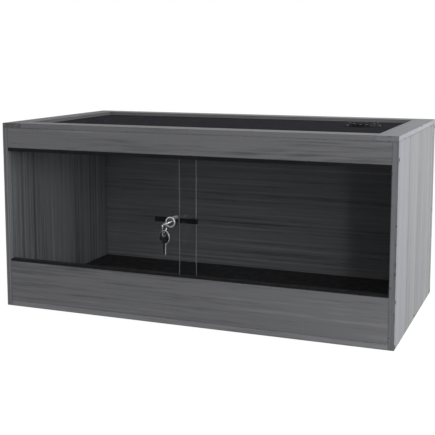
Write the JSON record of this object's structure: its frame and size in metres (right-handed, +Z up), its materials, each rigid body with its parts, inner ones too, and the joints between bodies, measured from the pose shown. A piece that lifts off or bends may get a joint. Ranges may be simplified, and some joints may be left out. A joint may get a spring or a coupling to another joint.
{
  "type": "terrarium cabinet",
  "caption": "Low wooden terrarium cabinet with a screened top, a round port in the screen, two sliding glass doors and a ratchet lock with keys.",
  "frame": {"origin": "centre of the box's underside, on the surface it stands on; the keys hang in front of the box, so this is not the centre of the bounding box", "axes": "+Z up, -Y is the front with the glass doors, +X to the viewer's right"},
  "size_m": [0.914, 0.5417, 0.432],
  "materials": {
    "grey_melamine": "satin",
    "floor_liner": "satin",
    "black_screen": "matte",
    "black_steel": "satin",
    "gloss_black_plastic": "gloss",
    "black_plastic": "satin",
    "beech": "matte",
    "clear_glass": "gloss",
    "chrome": "gloss",
    "steel": "satin"
  },
  "bodies": {
    "case": {"left_side_panel": "grey_melamine", "right_side_panel": "grey_melamine", "bottom_panel": "grey_melamine", "back_panel": "grey_melamine", "front_fascia": "grey_melamine", "front_header": "grey_melamine", "top_frame_left": "grey_melamine", "top_frame_right": "grey_melamine", "top_frame_front": "grey_melamine", "top_frame_back": "grey_melamine", "floor_liner": "floor_liner", "screen_mesh": "black_screen", "screen_strip_left": "black_steel", "screen_strip_right": "black_steel", "screen_strip_front": "black_steel", "screen_strip_back": "black_steel", "port_collar": "gloss_black_plastic", "port_nut": "black_plastic", "bottom_track": "black_plastic", "top_track": "black_plastic", "screw_left_front_top": "black_steel", "screw_left_front_middle": "black_steel", "screw_left_front_bottom": "black_steel", "screw_left_middle_bottom": "black_steel", "screw_left_back_top": "black_steel", "screw_left_back_middle": "black_steel", "screw_left_back_bottom": "black_steel", "screw_right_front_top": "black_steel", "screw_right_front_middle": "black_steel", "screw_right_front_bottom": "black_steel", "screw_right_middle_bottom": "black_steel", "screw_right_back_top": "black_steel", "screw_right_back_middle": "black_steel", "screw_right_back_bottom": "black_steel", "dowel_left_front": "beech", "dowel_left_back": "beech", "dowel_right_front": "beech", "dowel_right_back": "beech", "dowel_front_rail_left": "beech", "dowel_front_rail_right": "beech", "dowel_back_rail_left": "beech", "dowel_back_rail_right": "beech"},
    "left_door": {"left_glass_door": "clear_glass", "ratchet_bar": "black_steel"},
    "right_door": {"right_glass_door": "clear_glass"},
    "lock": {"lock_body": "chrome"},
    "plug": {"lock_plug": "steel"},
    "inserted_key": {"key": "chrome"},
    "ring": {"key_ring": "steel"},
    "hanging_key": {"spare_key": "chrome"},
    "lid": {"port_lid": "gloss_black_plastic"}
  },
  "joints": [
    {"name": "left_door_slide", "type": "slide", "parent": "case", "child": "left_door", "axis": [1, 0, 0], "range_m": [0, 0.41]},
    {"name": "right_door_slide", "type": "slide", "parent": "case", "child": "right_door", "axis": [-1, 0, 0], "range_m": [0, 0.345]},
    {"name": "lock_slide", "type": "slide", "parent": "right_door", "child": "lock", "axis": [-1, 0, 0], "range_m": [0, 0.059]},
    {"name": "key_turn", "type": "hinge", "parent": "lock", "child": "plug", "pos_m": [-0.0248, -0.2415, 0.232], "axis": [0, 1, 0], "range_deg": [-20, 25]},
    {"name": "key_withdraw", "type": "slide", "parent": "plug", "child": "inserted_key", "axis": [0, -1, 0], "range_m": [0, 0.03]},
    {"name": "ring_swing", "type": "hinge", "parent": "inserted_key", "child": "ring", "pos_m": [-0.0248, -0.28925, 0.23402], "axis": [1, 0, 0], "range_deg": [-8, 8]},
    {"name": "hanging_key_swing", "type": "hinge", "parent": "ring", "child": "hanging_key", "pos_m": [-0.0248, -0.28925, 0.21492], "axis": [0, 1, 0], "range_deg": [-20, 20]},
    {"name": "lid_lift", "type": "slide", "parent": "case", "child": "lid", "axis": [0, 0, 1], "range_m": [0, 0.04]}
  ]
}
